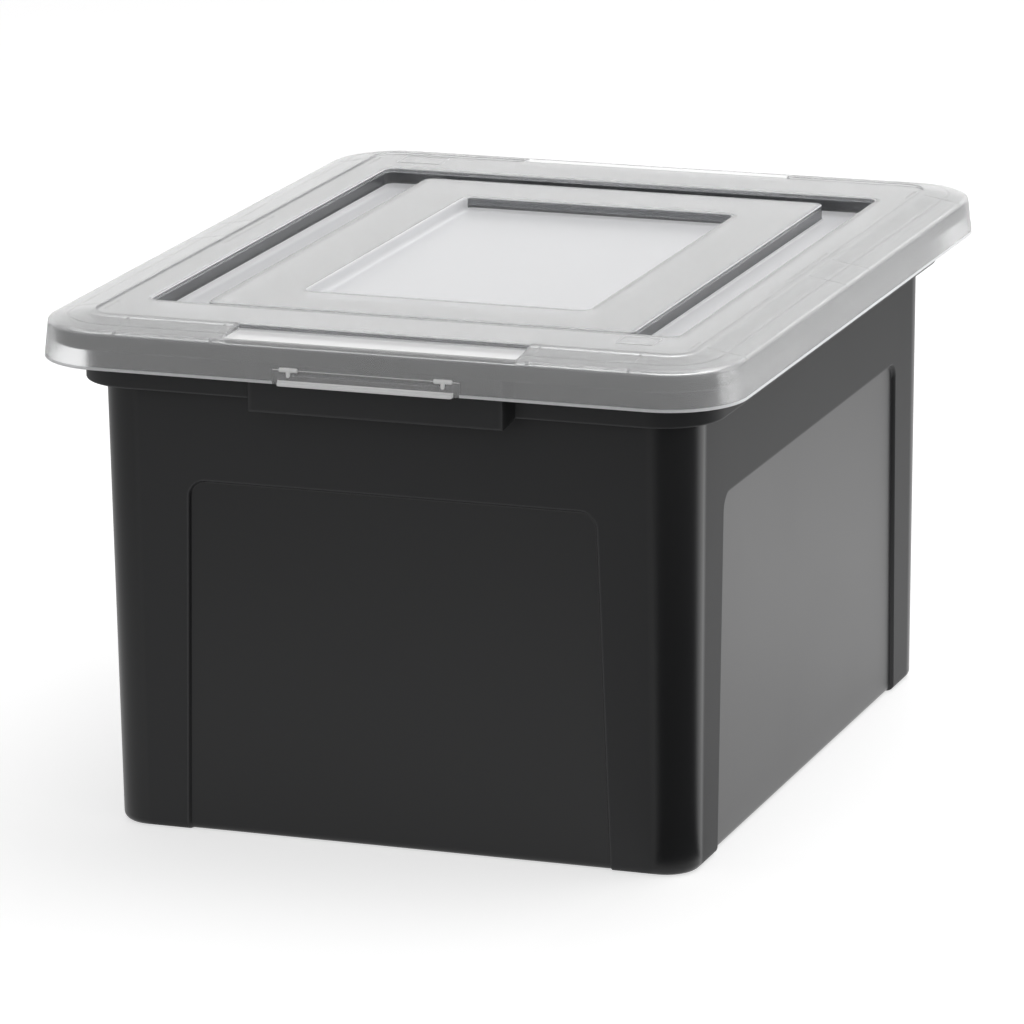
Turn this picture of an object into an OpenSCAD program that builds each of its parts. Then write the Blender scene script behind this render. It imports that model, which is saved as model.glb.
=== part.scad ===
// Portable file box: a black tub with moulded hanging rails and a frosted lift-off lid whose skirt
// carries a snap latch at the front and another at the back.
// Origin: middle of the base, on the surface it stands on. +X to the right, +Y to the back, +Z up.

/* [Folders] */
// Distance between the letter rails, middle to middle; the box is as wide as they need
letter_pitch = 308; // [270:0.5:345]
// Distance between the legal rails, middle to middle; the box is as deep as they need
legal_pitch = 384; // [345:0.5:420]
// How far the middle of each letter rail stands outside the side wall
letter_out = 0.75; // [-2:0.05:3]
// How far the middle of each legal rail stands outside the front or back wall
legal_out = -2.5; // [-3:0.05:3]
// Height of the rails above the inside ledge
rail_h = 11.7; // [8:0.1:13]
// Thickness of the rails
rail_t = 3; // [2:0.1:3.4]
// Distance from the end of a rail to where the box's corners begin
rail_end = 4.5; // [1:0.5:20]

/* [Tub] */
// Height of the tub's rim above the surface it stands on
rim_h = 255.8; // [220:0.2:320]
// How far each wall leans outwards between the base and the ledge
wall_lean = 2.75; // [1:0.25:5]
// Thickness of the walls
wall_t = 2.5; // [2:0.1:3.2]
// Thickness of the floor
floor_t = 3; // [2.4:0.1:4]
// Radius of the upright corners at the base
corner_r = 17.5; // [14:0.5:22]
// Radius of the rounded bottom edge
foot_r = 4; // [2:0.5:5]

/* [Recessed panels] */
// Depth of the recessed panel in each wall
recess_depth = 2; // [1:0.25:3.5]
// Height of the top edge of the recessed panels
recess_h = 180; // [120:1:190]
// Width of the front and back panels at their top edge
end_recess_w = 211; // [120:1:216]
// Width of the side panels at their top edge
side_recess_w = 287; // [180:1:296]
// How much wider on each side a panel is at the base than at its top
recess_spread = 5; // [0:0.5:6]
// Radius of the panels' top corners
recess_r = 9; // [5:0.5:14]
// Slope of the panels' edges, measured along the wall
recess_slope = 1.3; // [0.4:0.1:2]

/* [Collar and rim] */
// Height of the collar, from the outside ledge to the rim
collar_h = 30; // [26:0.2:40]
// How far the collar stands out from the wall below it
collar_out = 10.25; // [7:0.25:12]
// How far the rim's lip reaches out from the collar on the long sides
side_lip_out = 10.8; // [6:0.2:14]
// How far the rim's lip reaches out from the collar at the front and back
end_lip_out = 15.5; // [10:0.5:18]
// Depth of the lip's turned-down edge
lip_drop = 8.3; // [7:0.1:11]
// Thickness of the rim and of its lip
lip_t = 2; // [1.6:0.1:2.6]
// Radius of the rim's outer corners
rim_corner_r = 33.3; // [28:0.1:38]

/* [Carry grips] */
// Width of the grip under each latch, at its face
grip_w = 130; // [110:1:150]
// How far the grip's face stands out from the collar
grip_out = 8.2; // [6:0.2:10]
// How far the grip's front edge hangs below the ledge
grip_drop = 4.6; // [2:0.2:8]
// How far each end of the grip flares out where it joins the collar
grip_flare = 3.5; // [1:0.5:5]

/* [Lid] */
// Thickness of the lid
lid_t = 2.2; // [1.8:0.1:2.6]
// Gap between the rim and the inside of the skirt, at the skirt's top
skirt_gap = 0.4; // [0.3:0.1:1]
// Height of the skirt, from the lid's outer edge down
skirt_h = 19; // [17:0.5:20]
// How far the skirt flares outwards from top to bottom
skirt_flare = 2.1; // [1:0.1:3]
// Height of the lid's outer edge above the rim it sits on
edge_rise = 2.2; // [2:0.1:3]
// How much the border climbs from the outer edge to the stacking step
border_rise = 4.1; // [3:0.1:5]
// Width of the border, from the outer edge to the stacking step
border_w = 23.4; // [20:0.2:26]
// Depth of the stacking step
step_drop = 0.8; // [0.4:0.1:1.2]
// Distance of the lowered channel from the stacking step on the long sides
side_shelf_w = 17.3; // [12:0.1:24]
// Distance of the lowered channel from the stacking step at the front and back
end_shelf_w = 35.8; // [28:0.1:42]
// Depth of the lowered channel
channel_depth = 10.6; // [7:0.1:11.4]
// Width of the channel on the long sides
side_channel_w = 25.7; // [18:0.1:32]
// Width of the channel at the front and back
end_channel_w = 9.7; // [8:0.1:16]
// How far the middle panel lies below the shelf round the channel
panel_drop = 2; // [0.5:0.1:3]
// Depth of the label window below the middle panel
window_depth = 6.8; // [4:0.1:8]
// Width of the label window
window_w = 148; // [100:1:180]
// Length of the label window
window_l = 230; // [160:1:270]
// Width of the lowered gap in the border above each latch
notch_w = 148; // [110:1:156]
// Height of that gap's floor above the lid's outer edge
notch_rise = 0.3; // [0:0.1:1]
// Thickness of the ribs under the lid
rib_t = 1.5; // [1:0.1:2]
// Depth of the guide ribs that keep the lid centred inside the rim
guide_h = 13.1; // [8:0.1:14]
// Gap between the end guide ribs and the inside of the collar
guide_gap = 0.7; // [0.4:0.1:2]
// Gap between the side guide ribs and the letter rails
guide_rail_gap = 2.15; // [1:0.05:4]
// Length of the guide rib in the middle of each long side
side_guide_l = 67; // [40:1:120]
// Length of the guide ribs next to the corners on the long sides
corner_guide_l = 18.5; // [10:0.5:30]

/* [Latches] */
// Width of each latch flap
flap_w = 94.6; // [80:0.2:110]
// Height of each latch flap, from the skirt's lower edge to the hinge line
flap_h = 7.1; // [6.5:0.1:8]
// Width of the slit round each flap
slit = 0.4; // [0.3:0.1:0.6]
// Width of the finger lip along the flap's lower edge
pull_w = 89.6; // [60:0.2:92]
// How far the finger lip stands out from the skirt
pull_out = 2.8; // [2:0.1:5]
// Thickness of the finger lip
pull_t = 1.6; // [1.2:0.1:2.4]
// Distance from the middle of one hinge barrel to the middle of the other
barrel_pitch = 78.8; // [56:0.2:82]
// Length of each hinge barrel
barrel_l = 9.5; // [6:0.1:12]
// Radius of the hinge barrels
barrel_r = 1.1; // [1:0.05:1.2]

/* [Hidden] */
$fn = 96;

TUB_BLACK = "#2a2b2e";
LID_CLEAR = "#d6d8d9";

// Steps in a small rounded edge, and its usual radius
EDGE_STEPS = 4;
edge_r = 0.8;

// The tub's levels
ledge_z = rim_h - collar_h;
ledge_top_z = ledge_z + wall_t;
lip_low_z = rim_h - lip_drop;

// Width and depth of the tub at its base, from the rails that the ledge has to carry
base_w = letter_pitch - 2 * (wall_lean + letter_out);
base_d = legal_pitch - 2 * (wall_lean + legal_out);

// Corner centres of the tub, and its radii about them at the base, the ledge and the collar
tub_centre = [base_w / 2 - corner_r, base_d / 2 - corner_r];
wall_top_r = corner_r + wall_lean;
collar_r = wall_top_r + collar_out;
lean_angle = atan(wall_lean / ledge_z);
function wall_r(z) = corner_r + wall_lean * z / ledge_z;

// Outer half sizes of the collar and of the rim, and the corner centres that rim and lid share
collar_half = tub_centre + [collar_r, collar_r];
rim_half = collar_half + [side_lip_out, end_lip_out];
lid_centre = rim_half - [rim_corner_r, rim_corner_r];

// The lid's radii about those centres, and its levels
edge_out_r = rim_corner_r + skirt_gap + lid_t;
hem_out_r = edge_out_r + skirt_flare;
step_r = edge_out_r - border_w;
edge_z = rim_h + edge_rise;
hem_z = edge_z - skirt_h;
border_top_z = edge_z + border_rise;
shelf_z = border_top_z - step_drop;
channel_z = shelf_z - channel_depth;
panel_z = shelf_z - panel_drop;
window_z = panel_z - window_depth;

// Half sizes of the lid's inner outlines, and the radii of their corners
step_half = lid_centre + [step_r, step_r];
channel_half = step_half - [side_shelf_w, end_shelf_w];
panel_half = channel_half - [side_channel_w, end_channel_w];
window_half = [window_w / 2, window_l / 2];
channel_r = 5;
panel_r = 6;
window_r = 5;

// Rounding at the foot of the channel's outer wall, of the panel's wall and of the window's wall
channel_foot_r = 4;
panel_foot_r = 2;
window_foot_r = 2.4;

// The latch's hinge line, at the height of the barrels
hinge_z = hem_z + flap_h;
function skirt_y(z) = lid_centre.y + hem_out_r - skirt_flare * (z - hem_z) / skirt_h;
barrel_sink = 0.3;
hinge_y = skirt_y(hinge_z) - barrel_sink;

// Points along an arc about c, from angle a0 to angle a1
function arc(c, r, a0, a1, n = EDGE_STEPS) =
    [for (i = [0:n]) c + r * [cos(a0 + (a1 - a0) * i / n), sin(a0 + (a1 - a0) * i / n)]];

// Carries a section round a rectangle with round corners. The section's x runs outwards from the
// rectangle through the corner centres, and its y runs upwards.
module loop(half) {
    for (turn = [0, 180]) {
        rotate([0, 0, turn]) {
            translate([-half.x, half.y, 0])
                rotate([90, 0, 90])
                    linear_extrude(2 * half.x)
                        children();
            translate([half.x, half.y, 0])
                rotate([90, 0, 0])
                    linear_extrude(2 * half.y)
                        children();
            translate([half.x, half.y, 0])
                rotate_extrude(angle = 90)
                    children();
            translate([-half.x, half.y, 0])
                rotate([0, 0, 90])
                    rotate_extrude(angle = 90)
                        children();
        }
    }
}

// A rectangle with round corners, given by its half sizes
module outline(half, r) {
    square([2 * half.x, 2 * (half.y - r)], center = true);
    square([2 * (half.x - r), 2 * half.y], center = true);
    for (sx = [-1, 1], sy = [-1, 1])
        translate([sx * (half.x - r), sy * (half.y - r)])
            circle(r);
}

// A flat plate between two rounded outlines
module plate(half, r, z0, z1) {
    translate([0, 0, z0])
        linear_extrude(z1 - z0)
            outline(half, r);
}

// ---- Tub ----

// Section of the wall: rounded bottom edge, leaning wall, ledge and collar
function tub_section() = concat(
    [[0, 0]],
    arc([wall_r(foot_r) - foot_r, foot_r], foot_r, -90, 0),
    [[wall_top_r, ledge_z]],
    arc([collar_r - edge_r, ledge_z + edge_r], edge_r, -90, 0),
    [
        [collar_r, rim_h],
        [collar_r - wall_t, rim_h],
        [collar_r - wall_t, ledge_top_z],
        [wall_top_r - wall_t, ledge_top_z],
    ],
    arc([wall_r(floor_t + foot_r) - wall_t - foot_r, floor_t + foot_r], foot_r, 0, -90),
    [[0, floor_t]]
);

// Half of how much wider a panel is at height h than at its top corners
function panel_widening(h) = recess_spread * (1 - h / (recess_h - recess_r));

// Puts a drawing in the plane of a leaning wall; what is extruded then grows outwards
module on_wall(reach) {
    translate([0, -reach, 0])
        rotate([lean_angle, 0, 0])
            rotate([90, 0, 0])
                children();
}

// What the recessed panel takes away from a wall, built from level sections. Each has its half width
// and height at the outer face, then the half width, height and place of the sunk face.
module recess_cut(reach, width) {
    clear = 2;
    steps = [0:EDGE_STEPS];
    flare = recess_slope * clear / recess_depth;
    corner = [width / 2 - recess_r, recess_h - recess_r];
    foot = concat(
        [[-clear, foot_r]],
        [for (i = steps) let (t = 90 - 90 * i / EDGE_STEPS) [foot_r * (1 - sin(t)), foot_r * (1 - cos(t))]]
    );
    levels = concat(
        [for (f = foot) let (w = width / 2 + panel_widening(f[0]))
            [w + flare, f[0], w - recess_slope, f[0], -recess_depth - f[1]]],
        [for (i = steps) let (a = 90 * i / EDGE_STEPS, out = recess_r + flare, in = recess_r - recess_slope)
            [corner.x + out * cos(a), corner.y + out * sin(a),
                corner.x + in * cos(a), corner.y + in * sin(a), -recess_depth]]
    );
    last = 4 * (len(levels) - 1);
    on_wall(reach)
        polyhedron(
            points = [for (v = levels, c = [0:3])
                c < 2 ? [(2 * c - 1) * v[0], v[1], clear] : [(5 - 2 * c) * v[2], v[3], v[4]]],
            faces = concat(
                [[0, 1, 2, 3], [last + 3, last + 2, last + 1, last]],
                [for (k = [0:4:last - 4], c = [0:3]) [k + c, k + 4 + c, k + 4 + (c + 1) % 4]],
                [for (k = [0:4:last - 4], c = [0:3]) [k + c, k + 4 + (c + 1) % 4, k + (c + 1) % 4]]
            )
        );
}

// The same panel on the inside, where the wall keeps its thickness
module recess_back(reach, width) {
    low = floor_t / 2;
    corner = [width / 2 - recess_r, recess_h - recess_r];
    r = recess_r + wall_t / 2;
    foot_x = width / 2 + wall_t / 2 + panel_widening(low);
    on_wall(reach)
        translate([0, 0, -recess_depth - wall_t])
            linear_extrude(recess_depth + wall_t / 2)
                polygon(concat(
                    [[-foot_x, low], [foot_x, low]],
                    arc(corner, r, 0, 90),
                    arc([-corner.x, corner.y], r, 90, 180)
                ));
}

// Runs a wall feature on the front and back, then on the two sides
module on_ends() {
    for (turn = [0, 180])
        rotate([0, 0, turn])
            children();
}

module on_sides() {
    for (turn = [90, 270])
        rotate([0, 0, turn])
            children();
}

// Grip on the front of the collar: a hollow block with a hooked lower edge for the fingers
grip_y = collar_half.y + grip_out;

module grip_block() {
    intersection() {
        translate([-grip_w, 0, 0])
            rotate([90, 0, 90])
                linear_extrude(2 * grip_w)
                    polygon([
                        [-collar_half.y + wall_t / 2, ledge_z],
                        [-collar_half.y, ledge_z],
                        [-grip_y + wall_t, ledge_z - grip_drop + edge_r],
                        [-grip_y + wall_t - edge_r, ledge_z - grip_drop],
                        [-grip_y + edge_r, ledge_z - grip_drop],
                        [-grip_y, ledge_z - grip_drop + edge_r],
                        [-grip_y, rim_h - lip_t],
                        [-collar_half.y + wall_t / 2, rim_h - lip_t],
                    ]);
        translate([0, 0, ledge_z - 2 * grip_drop])
            linear_extrude(collar_h + 2 * grip_drop)
                polygon([
                    [-grip_w / 2, -grip_y],
                    [grip_w / 2, -grip_y],
                    [grip_w / 2 + grip_flare, -collar_half.y],
                    [grip_w / 2 + grip_flare, -collar_half.y + wall_t],
                    [-grip_w / 2 - grip_flare, -collar_half.y + wall_t],
                    [-grip_w / 2 - grip_flare, -collar_half.y],
                ]);
    }
}

// The grip's hollow, open to the inside of the tub
module grip_hollow() {
    hollow_w = grip_w - 2 * wall_t;
    translate([-hollow_w / 2, -grip_y + wall_t, ledge_top_z])
        cube([hollow_w, grip_out + wall_t, rim_h - lip_t - ledge_top_z]);
}

// Rails for hanging folders: upright ribs on the inside ledge
module letter_rail() {
    rail_l = 2 * (tub_centre.y - rail_end);
    translate([letter_pitch / 2 - rail_t / 2, -rail_l / 2, ledge_z])
        cube([rail_t, rail_l, wall_t + rail_h]);
}

module legal_rail() {
    rail_l = 2 * (tub_centre.x - rail_end);
    translate([-rail_l / 2, legal_pitch / 2 - rail_t / 2, ledge_z])
        cube([rail_l, rail_t, wall_t + rail_h]);
}

// The rim: a flat flange whose edge is rounded and turned down
module rim() {
    inside_r = rim_corner_r - lip_t;
    difference() {
        plate(rim_half - [lip_t, lip_t], inside_r, rim_h - lip_t, rim_h);
        plate(collar_half - [wall_t, wall_t], collar_r - wall_t, rim_h - lip_t - 1, rim_h + 1);
    }
    loop(lid_centre)
        polygon(concat(
            [[inside_r, lip_low_z], [rim_corner_r, lip_low_z]],
            arc([rim_corner_r - edge_r, rim_h - edge_r], edge_r, 0, 90),
            [[inside_r, rim_h]]
        ));
}

module tub() {
    color(TUB_BLACK)
        difference() {
            union() {
                loop(tub_centre)
                    polygon(tub_section());
                translate([0, 0, floor_t / 2])
                    cube([2 * tub_centre.x, 2 * tub_centre.y, floor_t], center = true);
                rim();
                on_ends() {
                    grip_block();
                    legal_rail();
                    recess_back(base_d / 2, end_recess_w);
                }
                on_ends()
                    letter_rail();
                on_sides()
                    recess_back(base_w / 2, side_recess_w);
            }
            on_ends() {
                grip_hollow();
                recess_cut(base_d / 2, end_recess_w);
            }
            on_sides()
                recess_cut(base_w / 2, side_recess_w);
        }
}

// ---- Lid ----

// Section of the skirt and the climbing border, down to the shelf inside the stacking step
function border_section() = let (
    bevel = 1.6,
    inside_bevel = 0.3,
    inner = step_r - 3,
    climb = border_rise / border_w,
    under_z = edge_z - lid_t + climb * lid_t
) concat(
    [[hem_out_r - lid_t, hem_z]],
    [[hem_out_r, hem_z]],
    [[edge_out_r + skirt_flare * bevel / skirt_h, edge_z - bevel]],
    [[edge_out_r - 0.3 * bevel, edge_z - 0.3 * bevel + 0.1]],
    [[edge_out_r - bevel, edge_z + climb * bevel]],
    [[step_r + edge_r, border_top_z - climb * edge_r]],
    [[step_r + edge_r / 4, border_top_z - edge_r / 8]],
    [[step_r, shelf_z]],
    [[inner, shelf_z]],
    [[inner, shelf_z - lid_t]],
    [[step_r, shelf_z - lid_t]],
    [[edge_out_r - lid_t - inside_bevel, under_z + climb * inside_bevel]],
    [[edge_out_r - lid_t, under_z - inside_bevel]]
);

// Section of the channel's outer wall, with its rounded foot and part of shelf and floor
function channel_section() = concat(
    [[0, channel_z - lid_t]],
    arc([channel_r + lid_t - channel_foot_r / 2, channel_z - lid_t + channel_foot_r / 2],
        channel_foot_r / 2, -90, 0),
    [[channel_r + lid_t, shelf_z - lid_t], [channel_r + 2 * lid_t, shelf_z - lid_t], [channel_r + 2 * lid_t, shelf_z]],
    arc([channel_r + edge_r, shelf_z - edge_r], edge_r, 90, 180),
    arc([channel_r - channel_foot_r, channel_z + channel_foot_r], channel_foot_r, 0, -90, 2 * EDGE_STEPS),
    [[0, channel_z]]
);

// Section of the middle panel's upright edge, with part of the channel's floor and of the panel
function panel_section() = concat(
    [[panel_r - lid_t, channel_z - lid_t], [panel_r + panel_foot_r + edge_r, channel_z - lid_t]],
    [[panel_r + panel_foot_r + edge_r, channel_z]],
    arc([panel_r + panel_foot_r, channel_z + panel_foot_r], panel_foot_r, -90, -180),
    arc([panel_r - edge_r, panel_z - edge_r], edge_r, 0, 90),
    [[0, panel_z], [0, panel_z - lid_t], [panel_r - lid_t, panel_z - lid_t]]
);

// Section of the window's wall, with part of the panel and of the window's floor
function window_section() = concat(
    [[0, window_z - lid_t]],
    arc([window_r + lid_t - window_foot_r / 2, window_z - lid_t + window_foot_r / 2],
        window_foot_r / 2, -90, 0),
    [[window_r + lid_t, panel_z - lid_t], [window_r + 2 * lid_t, panel_z - lid_t], [window_r + 2 * lid_t, panel_z]],
    arc([window_r + edge_r, panel_z - edge_r], edge_r, 90, 180),
    arc([window_r - window_foot_r, window_z + window_foot_r], window_foot_r, 0, -90, 2 * EDGE_STEPS),
    [[0, window_z]]
);

// A flat ring: a plate with a hole of another outline
module ring_plate(half, r, hole_half, hole_r, top_z) {
    difference() {
        plate(half, r, top_z - lid_t, top_z);
        plate(hole_half, hole_r, top_z - 2 * lid_t, top_z + lid_t);
    }
}

// Lowered gap in the border, above a latch
module notch_cut() {
    reach = border_w + skirt_gap;
    translate([-notch_w / 2, -step_half.y - reach, edge_z + notch_rise])
        cube([notch_w, reach, border_rise + edge_rise]);
}

module notch_shell() {
    depth = edge_out_r - lid_t / 2 - step_r;
    translate([-notch_w / 2 - lid_t, -step_half.y - depth, rim_h])
        cube([notch_w + 2 * lid_t, depth + lid_t, border_top_z - rim_h]);
}

// What lies above the border's own sloping top, so that the notch's ends follow it
module above_border() {
    loop(lid_centre)
        polygon([
            [step_r, shelf_z],
            [step_r + edge_r, border_top_z - border_rise / border_w * edge_r],
            [edge_out_r, edge_z - lid_t / 4],
            [edge_out_r, border_top_z + lid_t],
            [0, border_top_z + lid_t],
            [0, shelf_z],
        ]);
}

// Ribs under the border: a ring that sits on the rim, and cross ribs from the step to the skirt
seat_in = 7;
end_rib_x = [80.5, 131];
side_rib_y = [19, 180];

module rib_blank() {
    loop(lid_centre)
        polygon([
            [step_r + lid_t, rim_h],
            [edge_out_r - lid_t / 2, rim_h],
            [edge_out_r - lid_t / 2, edge_z - lid_t / 2],
            [step_r + lid_t, border_top_z - lid_t],
        ]);
}

module ribs() {
    loop(lid_centre)
        polygon([
            [rim_corner_r - seat_in - rib_t, rim_h],
            [rim_corner_r - seat_in, rim_h],
            [rim_corner_r - seat_in, edge_z + seat_in * border_rise / border_w - lid_t / 2],
            [rim_corner_r - seat_in - rib_t, edge_z + seat_in * border_rise / border_w - lid_t / 2],
        ]);
    intersection() {
        rib_blank();
        union() {
            for (x = end_rib_x, s = [-1, 1])
                translate([s * x - rib_t / 2, -rim_half.y - lid_t, rim_h - 1])
                    cube([rib_t, 2 * (rim_half.y + lid_t), border_rise + 2 * lid_t]);
            for (y = side_rib_y, s = [-1, 1])
                translate([-rim_half.x - lid_t, s * y - rib_t / 2, rim_h - 1])
                    cube([2 * (rim_half.x + lid_t), rib_t, border_rise + 2 * lid_t]);
        }
    }
}

// Guide ribs under the shelf: they hang inside the rim and keep clear of the hanging rails
module guides() {
    side_x = letter_pitch / 2 - rail_t / 2 - guide_rail_gap - rib_t;
    end_y = collar_half.y - wall_t - guide_gap - rib_t;
    corner_y = tub_centre.y + corner_guide_l - rail_end;
    end_x = [notch_w / 2 + rib_t, tub_centre.x + rib_t];
    for (sx = [-1, 1]) {
        translate([sx > 0 ? side_x : -side_x - rib_t, 0, shelf_z - lid_t - guide_h]) {
            translate([0, -side_guide_l / 2, 0])
                cube([rib_t, side_guide_l, guide_h + lid_t / 2]);
            for (sy = [0, 1])
                mirror([0, sy, 0])
                    translate([0, corner_y - corner_guide_l, 0])
                        cube([rib_t, corner_guide_l, guide_h + lid_t / 2]);
        }
        for (turn = [0, 180])
            rotate([0, 0, turn])
                translate([sx > 0 ? end_x[0] : -end_x[1], end_y, shelf_z - lid_t - guide_h])
                    cube([end_x[1] - end_x[0], rib_t, guide_h + lid_t / 2]);
    }
}

// Opening in the skirt for a latch flap and its two barrels
module latch_cut() {
    deep = 4;
    translate([-flap_w / 2 - slit, -skirt_y(hem_z) - 1, hem_z - 1])
        cube([flap_w + 2 * slit, deep + 1, flap_h + slit / 2 + 1]);
    for (s = [-1, 1])
        translate([s * barrel_pitch / 2, -hinge_y, hinge_z])
            rotate([0, 90, 0])
                cylinder(r = barrel_r + slit * 0.75, h = barrel_l + 2 * slit, center = true);
}

// Shallow bare rectangles moulded on the shelf, near two opposite corners
mark_size = [20, 15];
mark_depth = 0.4;

module mark_cut() {
    place = [channel_half.x - mark_size.x / 2 - lid_t, (channel_half.y + step_half.y) / 2];
    translate([place.x, -place.y, shelf_z - mark_depth])
        linear_extrude(1)
            outline(mark_size / 2, 1);
}

module lid() {
    color(LID_CLEAR)
        difference() {
            union() {
                loop(lid_centre)
                    polygon(border_section());
                ribs();
                guides();
                ring_plate(step_half - [1, 1], step_r - 1, channel_half + [lid_t, lid_t], channel_r + lid_t, shelf_z);
                loop(channel_half - [channel_r, channel_r])
                    polygon(channel_section());
                ring_plate(channel_half - [channel_foot_r, channel_foot_r], channel_r - channel_foot_r,
                    panel_half + [panel_foot_r, panel_foot_r], panel_r + panel_foot_r, channel_z);
                loop(panel_half - [panel_r, panel_r])
                    polygon(panel_section());
                ring_plate(panel_half - [lid_t, lid_t], panel_r - lid_t,
                    window_half + [lid_t, lid_t], window_r + lid_t, panel_z);
                loop(window_half - [window_r, window_r])
                    polygon(window_section());
                plate(window_half - [window_foot_r, window_foot_r], window_r - window_foot_r,
                    window_z - lid_t, window_z);
                difference() {
                    on_ends()
                        notch_shell();
                    above_border();
                }
            }
            on_ends() {
                notch_cut();
                latch_cut();
                mark_cut();
            }
        }
}

// ---- Latches ----

// A flap that closes the gap in the skirt, with its finger lip, snap ridge and two hinge barrels.
// Its ridge stops just outside the rim's lip, so that the lid can be lifted straight off.
module latch() {
    flap_top_z = hinge_z - slit / 2;
    ridge_y = rim_half.y + slit;
    ridge_h = 3;
    proud = 0.7;
    tail_h = 3;
    pull_z = hem_z - 0.3;
    tail_w = 2;
    pull_r = 0.5;
    translate([-flap_w / 2, 0, 0])
        rotate([90, 0, 90])
            linear_extrude(flap_w)
                polygon([
                    [-skirt_y(hem_z), hem_z],
                    [-skirt_y(flap_top_z), flap_top_z],
                    [-skirt_y(flap_top_z) + lid_t, flap_top_z],
                    [-skirt_y(hem_z) + lid_t, hem_z],
                ]);
    translate([-pull_w / 2, 0, 0])
        rotate([90, 0, 90])
            linear_extrude(pull_w) {
                polygon(concat(
                    [[-skirt_y(hem_z) + lid_t / 2, pull_z]],
                    arc([-skirt_y(hem_z) - pull_out + pull_r, pull_z + pull_r], pull_r, 270, 180),
                    arc([-skirt_y(hem_z) - pull_out + pull_r, pull_z + pull_t - pull_r], pull_r, 180, 90),
                    [[-skirt_y(hem_z) + lid_t / 2, pull_z + pull_t + pull_r]]
                ));
                polygon([
                    [-skirt_y(flap_top_z) + lid_t / 2, flap_top_z],
                    [-ridge_y - pull_r, flap_top_z],
                    [-ridge_y, flap_top_z - pull_r],
                    [-ridge_y, flap_top_z - ridge_h / 2],
                    [-skirt_y(flap_top_z) + lid_t / 2, flap_top_z - ridge_h],
                ]);
            }
    for (s = [-1, 1]) {
        translate([s * barrel_pitch / 2, -hinge_y, hinge_z])
            rotate([0, 90, 0])
                cylinder(r = barrel_r, h = barrel_l, center = true);
        translate([s * barrel_pitch / 2 - tail_w / 2, -skirt_y(hinge_z) - proud, flap_top_z - tail_h])
            cube([tail_w, proud + lid_t / 2, tail_h]);
    }
}

module front_latch() {
    color(LID_CLEAR)
        latch();
}

module rear_latch() {
    color(LID_CLEAR)
        rotate([0, 0, 180])
            latch();
}

tub();
lid();
front_latch();
rear_latch();
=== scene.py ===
"""Looks of a portable file box: a black tub with hanging rails and a frosted lift-off lid with two snap latches."""

import math

import bpy
import numpy as np
from mathutils import Matrix


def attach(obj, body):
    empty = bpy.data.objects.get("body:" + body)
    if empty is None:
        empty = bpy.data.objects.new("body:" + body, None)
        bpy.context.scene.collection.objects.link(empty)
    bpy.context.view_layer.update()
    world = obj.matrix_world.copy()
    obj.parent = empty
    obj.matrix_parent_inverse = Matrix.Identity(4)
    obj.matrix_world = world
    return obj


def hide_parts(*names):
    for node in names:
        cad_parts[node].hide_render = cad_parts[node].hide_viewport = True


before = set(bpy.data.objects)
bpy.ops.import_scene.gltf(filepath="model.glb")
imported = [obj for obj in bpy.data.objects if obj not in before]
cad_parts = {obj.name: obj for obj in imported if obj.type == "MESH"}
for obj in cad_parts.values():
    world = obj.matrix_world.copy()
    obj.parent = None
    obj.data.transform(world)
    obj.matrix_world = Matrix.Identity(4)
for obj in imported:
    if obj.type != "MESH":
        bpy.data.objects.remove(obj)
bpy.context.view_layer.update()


# ---- Camera ----
# It stands in front of the box, a little to the right and above, far enough away that the box's edges
# stay nearly parallel.

CAMERA_PLACE = (1.1347577, -3.1324474, 1.0005225)
CAMERA_AZIMUTH = 0.3499
CAMERA_ELEVATION = 0.2575
CAMERA_ROLL = -0.0114
FOCAL_PIXELS = 6757.3835
IMAGE_PIXELS = 1024
SENSOR_MM = 36.0


def camera_axes(azimuth, elevation, roll):
    """Right, up and back of a camera: the axes of a sphere at that azimuth and elevation, rolled about back."""
    sin_a, cos_a = math.sin(azimuth), math.cos(azimuth)
    sin_e, cos_e = math.sin(elevation), math.cos(elevation)
    back = np.array([sin_a * cos_e, -cos_a * cos_e, sin_e])
    level = np.array([cos_a, sin_a, 0.0])
    upright = np.cross(back, level)
    cos_r, sin_r = math.cos(roll), math.sin(roll)
    return cos_r * level + sin_r * upright, cos_r * upright - sin_r * level, back


def turned_to(axes, place):
    """World matrix whose columns are three axes and a place."""
    return Matrix([[*(axis[i] for axis in axes), place[i]] for i in range(3)] + [[0.0, 0.0, 0.0, 1.0]])


camera_data = bpy.data.cameras.new("camera")
camera_data.sensor_width = SENSOR_MM
camera_data.lens = FOCAL_PIXELS / IMAGE_PIXELS * SENSOR_MM
camera_data.clip_end = 50.0
camera = bpy.data.objects.new("camera", camera_data)
bpy.context.scene.collection.objects.link(camera)
camera.matrix_world = turned_to(camera_axes(CAMERA_AZIMUTH, CAMERA_ELEVATION, CAMERA_ROLL), CAMERA_PLACE)
bpy.context.scene.camera = camera
bpy.context.scene.view_settings.view_transform = "Standard"


# ---- Floor and light ----
# A plain white studio sweep, one large soft lamp above, and one low on the right that stays out of
# reflections. The camera's side stays dim, so the faces towards it are the darkest.

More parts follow.
